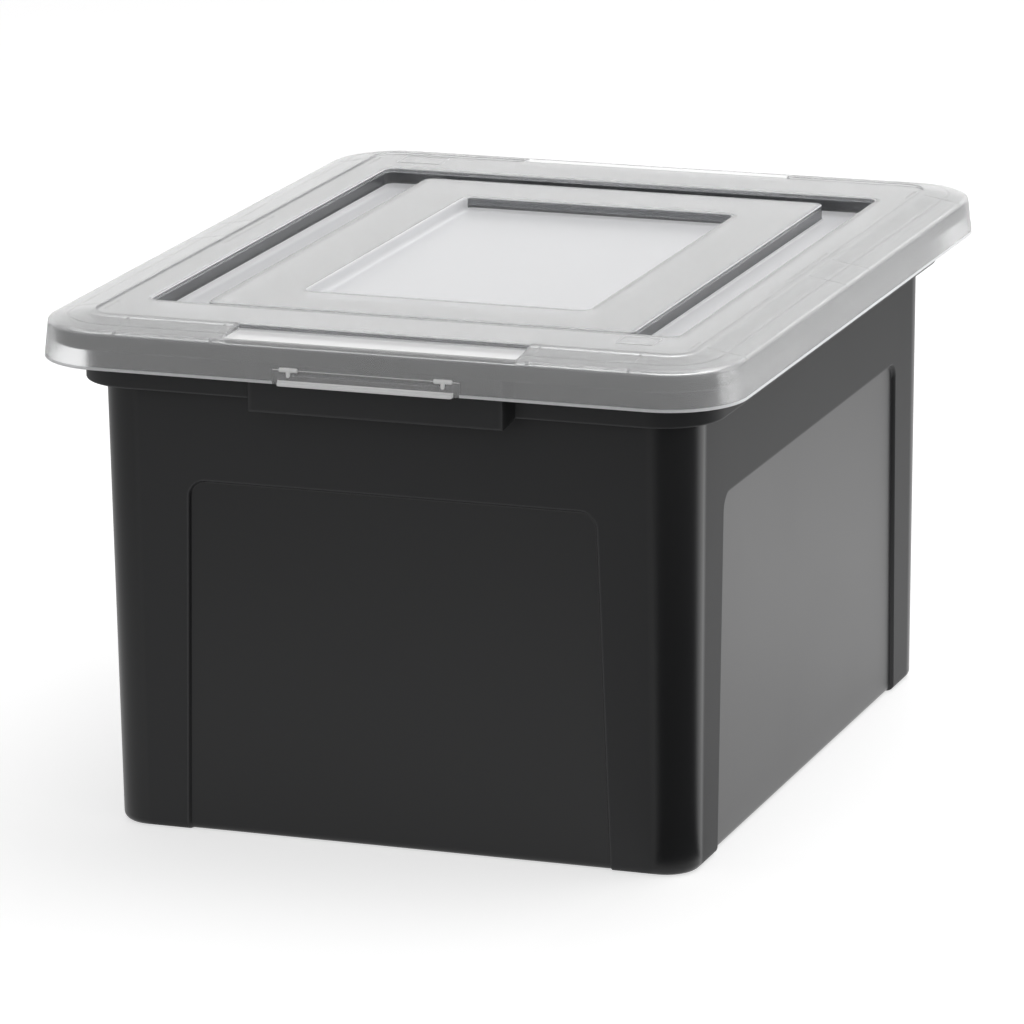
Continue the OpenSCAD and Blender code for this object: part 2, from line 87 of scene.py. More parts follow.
WHITE = (1.0, 1.0, 1.0, 1.0)
SKY_LIGHT = 0.42
SKY_MIRRORED = 1.4
SKY_SEEN = 1.0
FLOOR_HALF = 6.0
FLOOR_DROP = 0.0002
FLOOR_WHITE = (0.65, 0.65, 0.65, 1.0)
FLOOR_GLOW = 0.62
NEAR_FLOOR_GLOW = 0.84
NEAR_FLOOR_REACH = (0.30, 1.70)
NEAR_FLOOR_MIDDLE = (0.45, 0.15, 0.0)
CLOTH_BLACK = (0.01, 0.01, 0.01, 1.0)
CLOTH_MIDDLE = (0.133, -0.174)
CLOTH_REACH = (0.03, 1.6)
CLOTH_SPAN = (-8.0, 122.0)
CLOTH_STEPS = 12
CLOTH_Z = 0.0005
BOX_MIDDLE = (0.0, 0.0, 0.2)


def seen_strength(tree, strength_input, light, mirrored, seen):
    """Feeds a glow's strength: light for diffuse rays, mirrored (a number or a socket) for glossy ones, and
    seen for camera and transmission rays."""
    path = tree.nodes.new("ShaderNodeLightPath")
    direct = tree.nodes.new("ShaderNodeMath")
    direct.operation = "MAXIMUM"
    tree.links.new(path.outputs["Is Camera Ray"], direct.inputs[0])
    tree.links.new(path.outputs["Is Transmission Ray"], direct.inputs[1])
    gloss = tree.nodes.new("ShaderNodeMix")
    gloss.inputs["A"].default_value = light
    if isinstance(mirrored, float):
        gloss.inputs["B"].default_value = mirrored
    else:
        tree.links.new(mirrored, gloss.inputs["B"])
    tree.links.new(path.outputs["Is Glossy Ray"], gloss.inputs["Factor"])
    strength = tree.nodes.new("ShaderNodeMix")
    strength.inputs["B"].default_value = seen
    tree.links.new(direct.outputs[0], strength.inputs["Factor"])
    tree.links.new(gloss.outputs["Result"], strength.inputs["A"])
    tree.links.new(strength.outputs["Result"], strength_input)


def studio_material(name, colour, specular):
    """A plain material of the studio, with its tree and its shader."""
    material = bpy.data.materials.new(name)
    material.use_nodes = True
    shader = material.node_tree.nodes["Principled BSDF"]
    shader.inputs["Base Color"].default_value = colour
    shader.inputs["Specular IOR Level"].default_value = specular
    return material, material.node_tree, shader


def studio_sheet(name, points, faces, material):
    """A sheet of the studio that isn't part of the box, from its corner points and its faces."""
    mesh = bpy.data.meshes.new(name)
    mesh.from_pydata(points, [], faces)
    mesh.materials.append(material)
    sheet = bpy.data.objects.new(name, mesh)
    bpy.context.scene.collection.objects.link(sheet)
    return sheet


world = bpy.data.worlds.new("studio")
bpy.context.scene.world = world
world.use_nodes = True
sky = world.node_tree.nodes["Background"]
sky.inputs["Color"].default_value = WHITE
seen_strength(world.node_tree, sky.inputs["Strength"], SKY_LIGHT, SKY_MIRRORED, SKY_SEEN)

# The floor looks white to the camera, and reflections see it fade out from the box's right side.
sweep, sweep_tree, sweep_shader = studio_material("white_sweep", FLOOR_WHITE, 0.1)
sweep_shader.inputs["Roughness"].default_value = 0.9
sweep_shader.inputs["Emission Color"].default_value = WHITE
floor_place = sweep_tree.nodes.new("ShaderNodeTexCoord")
distance = sweep_tree.nodes.new("ShaderNodeVectorMath")
distance.operation = "DISTANCE"
distance.inputs[1].default_value = NEAR_FLOOR_MIDDLE
sweep_tree.links.new(floor_place.outputs["Object"], distance.inputs[0])
near_glow = sweep_tree.nodes.new("ShaderNodeMapRange")
near_glow.inputs["From Min"].default_value, near_glow.inputs["From Max"].default_value = NEAR_FLOOR_REACH
near_glow.inputs["To Min"].default_value, near_glow.inputs["To Max"].default_value = NEAR_FLOOR_GLOW, 0.0
sweep_tree.links.new(distance.outputs["Value"], near_glow.inputs["Value"])
seen_strength(sweep_tree, sweep_shader.inputs["Emission Strength"], 0.0, near_glow.outputs["Result"], FLOOR_GLOW)
floor_corners = [(x * FLOOR_HALF, y * FLOOR_HALF, -FLOOR_DROP) for x, y in ((-1, -1), (1, -1), (1, 1), (-1, 1))]
floor = studio_sheet("floor", floor_corners, [(0, 1, 2, 3)], sweep)

# A dark cloth lies on the floor at the near corner, a sector of a ring. It shows only in reflections, as the
# dark band up that corner.
cloth_angle = np.radians(np.linspace(*CLOTH_SPAN, CLOTH_STEPS + 1))
cloth_points = [(CLOTH_MIDDLE[0] + r * math.sin(a), CLOTH_MIDDLE[1] - r * math.cos(a), CLOTH_Z)
                for a in cloth_angle for r in CLOTH_REACH]
cloth_faces = [(2 * k, 2 * k + 1, 2 * k + 3, 2 * k + 2) for k in range(CLOTH_STEPS)]
cloth = studio_sheet("dark_cloth", cloth_points, cloth_faces, studio_material("black_cloth", CLOTH_BLACK, 0.0)[0])
for ray in ("camera", "diffuse", "shadow", "transmission"):
    setattr(cloth, "visible_" + ray, False)


def soft_lamp(name, place, size, watts, mirrored):
    """A rectangular area lamp that faces the box's middle. It stays out of reflections unless it is mirrored."""
    lamp = bpy.data.lights.new(name, "AREA")
    lamp.shape = "RECTANGLE"
    lamp.size, lamp.size_y = size
    lamp.energy = watts
    holder = bpy.data.objects.new(name, lamp)
    bpy.context.scene.collection.objects.link(holder)
    out = np.array(place, float) - np.array(BOX_MIDDLE, float)
    out /= np.linalg.norm(out)
    side = np.cross((0.0, 0.0, 1.0), out)
    side /= np.linalg.norm(side)
    holder.matrix_world = turned_to((side, np.cross(out, side), out), place)
    holder.visible_glossy = mirrored


soft_lamp("top_lamp", place=(0.25, 0.6, 1.9), size=(1.6, 1.6), watts=17.0, mirrored=True)
soft_lamp("low_right_lamp", place=(1.7, 0.5, 0.35), size=(1.2, 0.5), watts=13.0, mirrored=False)


# ---- Tub ----
# One black polypropylene moulding: floor, four leaning walls with a sunk panel in each, ledge, collar,
# carry grips, and a flat rim with a turned-down lip. It is a section carried round a rectangle.

MM = 0.001
TUB_CORNER = (133.0, 174.25)
RIM_CORNER = (141.0, 186.95)
WALL_LEAN = 2.75
WALL = 2.5
FLOOR_T = 3.0
FOOT_RADIUS = 4.0
BASE_RADIUS = 17.5
LEDGE_Z = 225.8
COLLAR_RADIUS = 30.5
LIP_RADIUS = 33.3
LIP_LOW_Z = 247.5
RIM_Z = 255.8
RIM_T = 2.0
GRIP_HALF = 65.0
GRIP_FLARE = 3.5
GRIP_HOLLOW_HALF = 62.8
GRIP_HOLLOW_EDGE = 0.6
PANEL_TOP_Z = 180.0
PANEL_HALF = (105.5, 143.5)
PANEL_SPREAD = 5.0
PANEL_RADIUS = 9.0
PANEL_DEPTH = 2.0
PANEL_SLOPE = 1.3
EDGE_ROUNDING = 0.8
TUB_WEAR_AND_HIGHLIGHT = 0.8


def round_the_corners(stops_x, stops_y, corner_steps):
    """Columns round a rectangle with round corners, anticlockwise from its right side. Each has the shares of the
    half width and half depth where it stands, and its outward direction, which turns evenly round a corner."""
    shares, outward, along, side = [], [], [], []
    quarter = np.linspace(0.0, math.pi / 2, corner_steps + 1)
    for turn in range(4):
        c, s = round(math.cos(turn * math.pi / 2)), round(math.sin(turn * math.pi / 2))
        stops = np.asarray(stops_x if turn % 2 else stops_y, float)
        shares += [np.column_stack([c - s * stops, s + c * stops]), np.tile([c - s, s + c], (len(quarter), 1))]
        angle = turn * math.pi / 2 + quarter
        outward += [np.tile([c, s], (len(stops), 1)), np.column_stack([np.cos(angle), np.sin(angle)])]
        along += [stops, np.full(len(quarter), np.nan)]
        side += [np.full(len(stops), turn), np.full(len(quarter), -1)]
    return {"shares": np.vstack(shares), "outward": np.vstack(outward),
            "along": np.concatenate(along), "side": np.concatenate(side)}


def rows_about(corner, section):
    """Rows of a carried section: the corner centre, then the section's radius about it and its height."""
    section = np.asarray(section, float)
    return np.column_stack([np.tile(corner, (len(section), 1)), section])


def arc(r, z, radius, start, end, steps):
    """Points (r, z) + radius (cos a, sin a), with a from start to end in degrees."""
    a = np.radians(np.linspace(start, end, steps + 1))
    return np.column_stack([r + radius * np.cos(a), z + radius * np.sin(a)])


def carry(columns, rows):
    """Surface of a section carried round the corners: shares * corner centre + radius * outward, at the row's
    height."""
    plan = columns["shares"][None] * rows[:, None, :2] + rows[:, None, 2:3] * columns["outward"][None]
    return np.dstack([plan, np.broadcast_to(rows[:, 3, None], plan.shape[:2])])


def ring_quads(n_rows, n_columns, closed_rows=False):
    """Four-sided faces of a grid of points whose columns close on themselves. They face column step x row step."""
    i = np.arange(n_rows if closed_rows else n_rows - 1)[:, None]
    j = np.arange(n_columns)[None]
    i1, j1 = (i + 1) % n_rows, (j + 1) % n_columns
    return np.stack([i * n_columns + j, i * n_columns + j1, i1 * n_columns + j1, i1 * n_columns + j], axis=-1)


def edge_strength(grid):
    """How sharply a grid bends outwards at each point, from 0 to 1: an edge's usual radius times the larger of
    the two normal curvatures, which are the change of the normal along a step over the step's length."""
    step_row = np.gradient(grid, axis=0)
    step_column = np.roll(grid, -1, axis=1) - np.roll(grid, 1, axis=1)
    normal = np.cross(step_column, step_row)
    normal /= np.maximum(np.linalg.norm(normal, axis=-1, keepdims=True), 1e-9)
    bend = []
    for turned, moved in ((np.gradient(normal, axis=0), step_row),
                          (np.roll(normal, -1, axis=1) - np.roll(normal, 1, axis=1), step_column)):
        bend.append((turned * moved).sum(-1) / np.maximum((moved * moved).sum(-1), 1e-6))
    return np.clip(EDGE_ROUNDING * np.maximum(*bend), 0.0, 1.0)


def moulded_piece(name, points, faces, body, materials, which=None, masks=(), crease=38.0):
    """A finished mesh object from points in millimetres and lists of faces, smooth except at creases sharper
    than the given angle. which says the material of each face, and masks are named values at the points."""
    mesh = bpy.data.meshes.new(name)
    mesh.from_pydata((np.asarray(points) * MM).tolist(), [], faces)
    for material in materials:
        mesh.materials.append(material)
    if which is not None:
        mesh.polygons.foreach_set("material_index", np.asarray(which, np.int32))
    for mask, values in masks:
        attribute = mesh.attributes.new(mask, "FLOAT", "POINT")
        attribute.data.foreach_set("value", np.asarray(values, np.float32).ravel())
    mesh.polygons.foreach_set("use_smooth", np.ones(len(mesh.polygons), bool))
    mesh.set_sharp_from_angle(angle=math.radians(crease))
    mesh.update()
    piece = bpy.data.objects.new(name, mesh)
    bpy.context.scene.collection.objects.link(piece)
    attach(piece, body)
    return piece


def wall_radius(z):
    """The wall's radius about the corner centres grows evenly from the base to the ledge."""
    return BASE_RADIUS + WALL_LEAN * np.asarray(z, float) / LEDGE_Z


def mirrored_stops(values, reach):
    """Shares from -1 to 1 of a side's half length, the same to both sides of its middle."""
    values = np.unique(np.asarray(values, float)) / reach
    return np.concatenate([-values[::-1], values[values > 0]])


panel_edge_steps = np.arange(-11.0, 1.6, 0.45)
grip_edge_steps = [58, 61.5, 62.2, 62.8, 64, 65, 65.5, 66, 66.6, 67.2, 67.8, 68.3, 68.6, 69.5, 72]
end_stops = mirrored_stops([0, 15, 30, 45, *grip_edge_steps, 80, 88, *(PANEL_HALF[0] + panel_edge_steps),
                            110, 116, 124, 130], TUB_CORNER[0])
side_stops = mirrored_stops([0, 22, 44, 66, 88, 110, 122, *(PANEL_HALF[1] + panel_edge_steps),
                             148, 155, 163, 170], TUB_CORNER[1])
tub_columns = round_the_corners(end_stops, side_stops, 14)

foot = arc(wall_radius(FOOT_RADIUS) - FOOT_RADIUS, FOOT_RADIUS, FOOT_RADIUS, -90, 0, 7)
wall_z = np.concatenate([[14, 45, 80, 115, 145, 160], np.arange(168.6, 181.6, 0.45), [184, 195, 208, 218, 223.2]])
ledge_low = [(29.0, LEDGE_Z), (29.35, LEDGE_Z), (29.6, LEDGE_Z), *arc(29.7, LEDGE_Z + 0.8, 0.8, -80, 0, 4),
             (COLLAR_RADIUS, 227.0), (COLLAR_RADIUS, 233.0), (COLLAR_RADIUS, 243.0), (COLLAR_RADIUS, 252.6),
             (COLLAR_RADIUS + 0.35, 253.45), (COLLAR_RADIUS + 1.2, 253.8)]
grip_low = [(30.5, LEDGE_Z - 0.2), (33.3, 223.9), (35.9, 222.15), (36.7, 221.4), (37.3, 221.2), (38.0, 221.3),
            (38.5, 221.65), (38.7, 222.2), (38.7, 222.8), (38.7, 232.0), (38.7, 243.0), (38.7, 252.6),
            (39.05, 253.45), (39.9, 253.8)]
outer_rows = rows_about(TUB_CORNER, [
    *foot, *np.column_stack([wall_radius(wall_z), wall_z]),
    *arc(wall_radius(LEDGE_Z) + 1.3, LEDGE_Z - 1.3, 1.3, 180, 90, 4)])
lip_inner, lip_mid = LIP_RADIUS - RIM_T, LIP_RADIUS - RIM_T / 2
lip_rows = rows_about(RIM_CORNER, [
    *arc(lip_inner - 1.0, RIM_Z - RIM_T - 1.0, 1.0, 90, 0, 3), (lip_inner, LIP_LOW_Z + 0.5),
    *arc(lip_mid, LIP_LOW_Z + 0.9, 0.9, -165, -15, 5), (LIP_RADIUS, LIP_LOW_Z + 1.3),
    *arc(LIP_RADIUS - 0.9, RIM_Z - 0.9, 0.9, 0, 90, 5)])
collar_inside = COLLAR_RADIUS - WALL
hollow_rows = [(collar_inside, 253.8), (collar_inside, 253.7), (collar_inside, 253.6), (collar_inside, 240.0),
               (collar_inside, 229.4), (collar_inside - 0.3, 228.7), (collar_inside - 1.0, 228.3)]
grip_hollow_rows = [(collar_inside, 253.8), (collar_inside + 0.1, 253.75), (36.2, 253.6), (36.2, 240.0),
                    (36.2, 229.2), (35.8, 228.6), (35.0, 228.3)]
inside_z = np.concatenate([[222, 210, 195, 184, 182.2], np.arange(181.7, 169.2, -0.9), [150, 110, 70, 40, 16]])
inside_rows = rows_about(TUB_CORNER, [
    (wall_radius(LEDGE_Z) - WALL + 1.4, 228.3), *arc(wall_radius(LEDGE_Z) - WALL + 1.2, 227.1, 1.2, 100, 180, 4),
    *np.column_stack([wall_radius(inside_z) - WALL, inside_z]),
    *arc(wall_radius(FLOOR_T + FOOT_RADIUS) - WALL - FOOT_RADIUS, FLOOR_T + FOOT_RADIUS, FOOT_RADIUS, 0, -90, 6)])
top_rows = rows_about(TUB_CORNER, arc(collar_inside + 0.7, RIM_Z - 0.7, 0.7, 90, 180, 3))

plain_rows = [outer_rows, rows_about(TUB_CORNER, ledge_low), lip_rows, top_rows,
              rows_about(TUB_CORNER, hollow_rows), inside_rows]
gripped_rows = [outer_rows, rows_about(TUB_CORNER, grip_low), lip_rows, top_rows,
                rows_about(TUB_CORNER, grip_hollow_rows), inside_rows]
row_ends = np.cumsum([len(rows) for rows in plain_rows])

tub_grid = carry(tub_columns, np.vstack(plain_rows))
gripped_grid = carry(tub_columns, np.vstack(gripped_rows))
on_end = np.isin(tub_columns["side"], (1, 3))
reach = np.where(on_end, np.abs(tub_columns["along"]) * TUB_CORNER[0], np.inf)
grip_share = np.clip((GRIP_HALF + GRIP_FLARE - reach) / GRIP_FLARE, 0.0, 1.0)
hollow_share = np.clip((GRIP_HOLLOW_HALF - reach) / GRIP_HOLLOW_EDGE, 0.0, 1.0)
row_share = np.zeros((len(tub_grid), 1)) + grip_share
row_share[row_ends[3]:row_ends[4]] = hollow_share
tub_grid += row_share[..., None] * (gripped_grid - tub_grid)


def sink_panels(grid, columns, rows, grow):
    """Sinks a panel into each wall of some rows, by PANEL_DEPTH times a smooth step of the distance to the
    panel's outline: straight sides that spread towards the base, and round top corners. Its columns follow
    those sides. Gives the step's value at each point."""
    straight = columns["side"] >= 0
    end = columns["side"] % 2 == 1
    half = np.where(end, *PANEL_HALF)[straight]
    corner = np.where(end, *TUB_CORNER)[straight]
    s = columns["along"][straight] * corner
    z = grid[rows][:, straight, 2]
    spread = PANEL_SPREAD * np.clip(1.0 - z / (PANEL_TOP_Z - PANEL_RADIUS), 0.0, 1.0)
    follow = np.where(np.abs(s) < half, np.abs(s) / half, (corner - np.abs(s)) / (corner - half))
    moved = np.abs(s) + spread * follow
    radius = PANEL_RADIUS + grow
    past_side = moved - (half + grow + spread - radius)
    past_top = z - (PANEL_TOP_Z + grow - radius)
    inside = radius - np.hypot(np.maximum(past_side, 0), np.maximum(past_top, 0)) \
        - np.minimum(np.maximum(past_side, past_top), 0)
    share = np.clip(inside / PANEL_SLOPE, 0.0, 1.0)
    sunk = share * share * (3.0 - 2.0 * share)
    outward = columns["outward"][straight]
    tangent = np.column_stack([-outward[:, 1], outward[:, 0]])
    shift = (np.sign(s) * moved - s)[..., None] * tangent - PANEL_DEPTH * sunk[..., None] * outward
    block = grid[rows]
    block[:, straight, :2] += shift
    grid[rows] = block
    mask = np.zeros(grid.shape[:2])
    mask_rows = np.zeros((len(block), grid.shape[1]))
    mask_rows[:, straight] = sunk
    mask[rows] = mask_rows
    return mask


outer_slice = slice(0, row_ends[0] - 5)
inner_slice = slice(row_ends[4] + 5, row_ends[5])
panel_mask = sink_panels(tub_grid, tub_columns, outer_slice, 0.0)
panel_mask += sink_panels(tub_grid, tub_columns, inner_slice, WALL / 2)
panel_mask[outer_slice, tub_columns["side"] < 0] = 1.0  # the round corners are as smooth as the panels


def effect_group(name, inputs, outputs):
    """An empty shader node group with named sockets, given as (name, kind, default)."""
    group = bpy.data.node_groups.new(name, "ShaderNodeTree")
    for socket, kind, default in inputs:
        made = group.interface.new_socket(socket, in_out="INPUT", socket_type=kind)
        made.default_value = default
    for socket, kind in outputs:
        group.interface.new_socket(socket, in_out="OUTPUT", socket_type=kind)
    return group, group.nodes.new("NodeGroupInput"), group.nodes.new("NodeGroupOutput")


def arithmetic(tree, operation, first, second):
    """A math node on two sockets or numbers."""
    node = tree.nodes.new("ShaderNodeMath")
    node.operation = operation
    for socket, value in zip(node.inputs, (first, second)):
        if isinstance(value, (int, float)):
            socket.default_value = value
        else:
            tree.links.new(value, socket)
    return node.outputs[0]


# Moulded skin, shared by all the plastics: a fine spark-eroded grain, slow flow marks from the melt, edges
# painted lighter, partly as handling wear and partly as a painted highlight where edges catch the light, and
# parts where the mould is polished.
MIX_COLOUR_A, MIX_COLOUR_B, MIX_COLOUR_OUT = 6, 7, 2
skin, skin_in, skin_out = effect_group(
    "moulded_skin",
    [("Grain Scale", "NodeSocketFloat", 2200.0), ("Flow Scale", "NodeSocketFloat", 9.0),
     ("Colour", "NodeSocketColor", (0.5, 0.5, 0.5, 1.0)), ("Wear And Highlight Colour", "NodeSocketColor", (0.6, 0.6, 0.6, 1.0)),
     ("Flow Contrast", "NodeSocketFloat", 0.05), ("Roughness", "NodeSocketFloat", 0.4),
     ("Roughness Spread", "NodeSocketFloat", 0.06), ("Polish", "NodeSocketFloat", 0.0)],
    [("Colour", "NodeSocketColor"), ("Roughness", "NodeSocketFloat"), ("Height", "NodeSocketFloat")])
skin_place = skin.nodes.new("ShaderNodeTexCoord").outputs["Object"]
grain = skin.nodes.new("ShaderNodeTexNoise")
grain.inputs["Detail"].default_value = 1.0
skin.links.new(skin_place, grain.inputs["Vector"])
skin.links.new(skin_in.outputs["Grain Scale"], grain.inputs["Scale"])
flow = skin.nodes.new("ShaderNodeTexNoise")
flow.inputs["Detail"].default_value = 3.0
flow.inputs["Distortion"].default_value = 0.6
skin.links.new(skin_place, flow.inputs["Vector"])
skin.links.new(skin_in.outputs["Flow Scale"], flow.inputs["Scale"])
flow_swing = arithmetic(skin, "SUBTRACT", flow.outputs["Fac"], 0.5)
brighter = arithmetic(skin, "ADD", arithmetic(skin, "MULTIPLY", flow_swing, skin_in.outputs["Flow Contrast"]), 1.0)
flowed = skin.nodes.new("ShaderNodeVectorMath")
flowed.operation = "SCALE"
skin.links.new(skin_in.outputs["Colour"], flowed.inputs[0])
skin.links.new(brighter, flowed.inputs["Scale"])
# The edge mask mixes in the edge colour: partly handling wear, partly a painted highlight along the edges.
edge_wear_and_highlight = skin.nodes.new("ShaderNodeAttribute")
edge_wear_and_highlight.attribute_name = "edge"
worn_and_lit = skin.nodes.new("ShaderNodeMix")
worn_and_lit.data_type = "RGBA"
skin.links.new(edge_wear_and_highlight.outputs["Fac"], worn_and_lit.inputs["Factor"])
skin.links.new(flowed.outputs[0], worn_and_lit.inputs[MIX_COLOUR_A])
skin.links.new(skin_in.outputs["Wear And Highlight Colour"], worn_and_lit.inputs[MIX_COLOUR_B])
skin.links.new(worn_and_lit.outputs[MIX_COLOUR_OUT], skin_out.inputs["Colour"])
uneven = arithmetic(skin, "MULTIPLY", flow_swing, skin_in.outputs["Roughness Spread"])
polish_value = skin.nodes.new("ShaderNodeAttribute")
polish_value.attribute_name = "polish"
polished = arithmetic(skin, "MULTIPLY", polish_value.outputs["Fac"], skin_in.outputs["Polish"])
rough = arithmetic(skin, "ADD", skin_in.outputs["Roughness"], uneven)
skin.links.new(arithmetic(skin, "SUBTRACT", rough, polished), skin_out.inputs["Roughness"])
skin.links.new(grain.outputs["Fac"], skin_out.inputs["Height"])


POLYPROPYLENE_IOR = 1.5


def plastic(name, colour, wear_and_highlight_colour, roughness, spread=0.06, grain=(2200.0, 0.00002), flow=(9.0, 0.06),
            polish=0.0, transmission=0.0, specular=0.5):
    """A moulded plastic: the shared skin feeds colour, roughness and bump of one Principled shader. Its grain is a
    scale and a depth, and its flow marks are a scale and a contrast."""
    material = bpy.data.materials.new(name)
    material.use_nodes = True
    tree = material.node_tree
    shader = tree.nodes["Principled BSDF"]
    shader.inputs["IOR"].default_value = POLYPROPYLENE_IOR
    shader.inputs["Transmission Weight"].default_value = transmission
    shader.inputs["Specular IOR Level"].default_value = specular
    surface = tree.nodes.new("ShaderNodeGroup")
    surface.node_tree = skin
    for socket, value in (
            ("Grain Scale", grain[0]), ("Flow Scale", flow[0]), ("Flow Contrast", flow[1]), ("Polish", polish),
            ("Colour", (*colour, 1.0)), ("Wear And Highlight Colour", (*wear_and_highlight_colour, 1.0)), ("Roughness", roughness),
            ("Roughness Spread", spread)):
        surface.inputs[socket].default_value = value
    tree.links.new(surface.outputs["Colour"], shader.inputs["Base Color"])
    tree.links.new(surface.outputs["Roughness"], shader.inputs["Roughness"])
    bump = tree.nodes.new("ShaderNodeBump")
    bump.inputs["Distance"].default_value = grain[1]
    tree.links.new(surface.outputs["Height"], bump.inputs["Height"])
    tree.links.new(bump.outputs["Normal"], shader.inputs["Normal"])
    return material


# Its lighter edge colour is a painted highlight along the edges as well as handling wear.
tub_black = plastic("tub_black", (0.0105, 0.0107, 0.0115), (0.065, 0.065, 0.067), 0.58, spread=0.04, polish=0.25,
                    specular=0.36)
n_rows, n_columns = tub_grid.shape[:2]
tub_faces = ring_quads(n_rows, n_columns).reshape(-1, 4).tolist()
tub_faces += [list(range(n_columns))[::-1], list(range((n_rows - 1) * n_columns, n_rows * n_columns))]
tub_shell = moulded_piece(
    "tub_shell", tub_grid.reshape(-1, 3), tub_faces, "tub", [tub_black],
    masks=[("edge", TUB_WEAR_AND_HIGHLIGHT * edge_strength(tub_grid)), ("polish", panel_mask)])
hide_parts("tub")


# ---- Hanging rails ----
# Four upright ribs on the tub's inside ledge, moulded with it. Letter folders hang from the side pair and
# legal folders from the front and back pair.

RAIL_HALF_T = 1.5
RAIL_TOP_Z = 240.0
RAIL_LOW_Z = 228.0
RAIL_END = 4.5
LETTER_RAIL_OUT = 154.0
LEGAL_RAIL_OUT = 192.0


def upright_rib(half_length, middle, turned):
    """A rib with round ends and a rounded top: a stadium outline carried up, its radius shrinking round the
    top. Gives its points and how sharply they bend."""
    columns = round_the_corners([0.0], [], 8)
    section = [(RAIL_HALF_T, RAIL_LOW_Z), (RAIL_HALF_T, RAIL_TOP_Z - 1.0),
               *arc(RAIL_HALF_T - 1.0, RAIL_TOP_Z - 1.0, 1.0, 15, 90, 4)]
    grid = carry(columns, rows_about((half_length - RAIL_HALF_T, 0.0), section))
    edge = edge_strength(grid)
    if turned:
        grid = grid[..., [1, 0, 2]] * (1, -1, 1)
    return grid + (*middle, 0.0), edge


rail_points, rail_faces, rail_edges = [], [], []
for half_length, middle, turned in (
        (TUB_CORNER[1] - RAIL_END, (LETTER_RAIL_OUT, 0.0), True),
        (TUB_CORNER[1] - RAIL_END, (-LETTER_RAIL_OUT, 0.0), True),
        (TUB_CORNER[0] - RAIL_END, (0.0, LEGAL_RAIL_OUT), False),
        (TUB_CORNER[0] - RAIL_END, (0.0, -LEGAL_RAIL_OUT), False)):
    grid, edge = upright_rib(half_length, middle, turned)
    first = sum(len(points) for points in rail_points)
    rows, columns = grid.shape[:2]
    rail_faces += (ring_quads(rows, columns).reshape(-1, 4) + first).tolist()
    rail_faces += [list(range(first + columns - 1, first - 1, -1)),
                   list(range(first + (rows - 1) * columns, first + rows * columns))]
    rail_points.append(grid.reshape(-1, 3))
    rail_edges.append(edge.ravel())
moulded_piece("hanging_rails", np.vstack(rail_points), rail_faces, "tub", [tub_black],
              masks=[("edge", TUB_WEAR_AND_HIGHLIGHT * np.concatenate(rail_edges))])


# ---- Lid ----
# One frosted, see-through polypropylene moulding: flared skirt, climbing border, stacking step, shelf, lowered
# channel, middle panel and label window. One section runs from under the window, round the skirt, to its top.

LID_T = 2.2
HEM_RADIUS = 38.0
SKIRT_FLARE = 2.1
HEM_Z = 239.0
EDGE_Z = 258.0
EDGE_RADIUS = 35.9
STEP_RADIUS = 12.5
BORDER_TOP_Z = 262.1
SHELF_Z = 261.3
CHANNEL_Z = 250.7
PANEL_Z = 259.3
WINDOW_Z = 252.5
CHANNEL_CORNER = (131.2, 158.65)
PANEL_CORNER = (104.5, 147.95)
WINDOW_CORNER = (69.0, 110.0)
NOTCH_HALF = 74.0
NOTCH_Z = 258.3
NOTCH_DRAFT = 1.6
FLAP_HOLE_HALF = 47.7
HINGE_Z = 246.1
FLAP_HOLE_TOP_Z = 246.3
BARREL_MIDDLE = 39.4
BARREL_POCKET_HALF = 4.9
BARREL_POCKET_TOP_Z = 247.3
LID_WEAR_AND_HIGHLIGHT = 0.7
TOUCHING = 1e-6


def skirt_radius(z):
    """The skirt's outer radius shrinks evenly from the hem to the lid's outer edge."""
    return HEM_RADIUS - SKIRT_FLARE * (np.asarray(z, float) - HEM_Z) / (EDGE_Z - HEM_Z)


skirt_levels = np.array([239.35, 240.6, 242.5, 244.5, FLAP_HOLE_TOP_Z, BARREL_POCKET_TOP_Z, 249.0, 251.0, 253.0,
                         255.0])
slope_r = np.linspace(33.4, 14.6, 12)


def border_z(r):
    """The border's top climbs evenly from the outer edge to the stacking step."""
    return EDGE_Z + (BORDER_TOP_Z - EDGE_Z) * (EDGE_RADIUS - np.asarray(r, float)) / (EDGE_RADIUS - STEP_RADIUS)


under_window = rows_about(WINDOW_CORNER, [
    (2.0, WINDOW_Z - LID_T), *arc(6.0, WINDOW_Z - LID_T + 1.2, 1.2, -90, 0, 3),
    (7.2, PANEL_Z - LID_T - 0.8), (7.6, PANEL_Z - LID_T)])
under_panel = rows_about(PANEL_CORNER, [
    (1.5, PANEL_Z - LID_T), *arc(2.8, PANEL_Z - LID_T - 1.0, 1.0, 90, 0, 3),
    (3.8, 249.6), (4.1, 248.8), (4.8, CHANNEL_Z - LID_T)])
under_channel = rows_about(CHANNEL_CORNER, [
    (2.0, CHANNEL_Z - LID_T), *arc(5.2, CHANNEL_Z - LID_T + 2.0, 2.0, -90, 0, 4),
    (7.2, 255.5), (7.2, 258.4), (7.8, SHELF_Z - LID_T)])
under_step = [(8.5, SHELF_Z - LID_T), (12.0, SHELF_Z - LID_T), (13.2, SHELF_Z - LID_T + 0.15)]
under_slope = np.linspace(14.6, 32.8, 8)
under_border = rows_about(RIM_CORNER, [
    *under_step, *np.column_stack([under_slope, border_z(under_slope) - LID_T]),
    (33.35, border_z(33.35) - LID_T), (33.62, 256.0), (33.75, 255.7)])
under_notch = rows_about(RIM_CORNER, [
    *under_step[:2], (13.0, NOTCH_Z - LID_T + 0.4), *np.column_stack([under_slope, np.full(8, NOTCH_Z - LID_T)]),
    (33.35, NOTCH_Z - LID_T), (33.62, 255.95), (33.75, 255.7)])
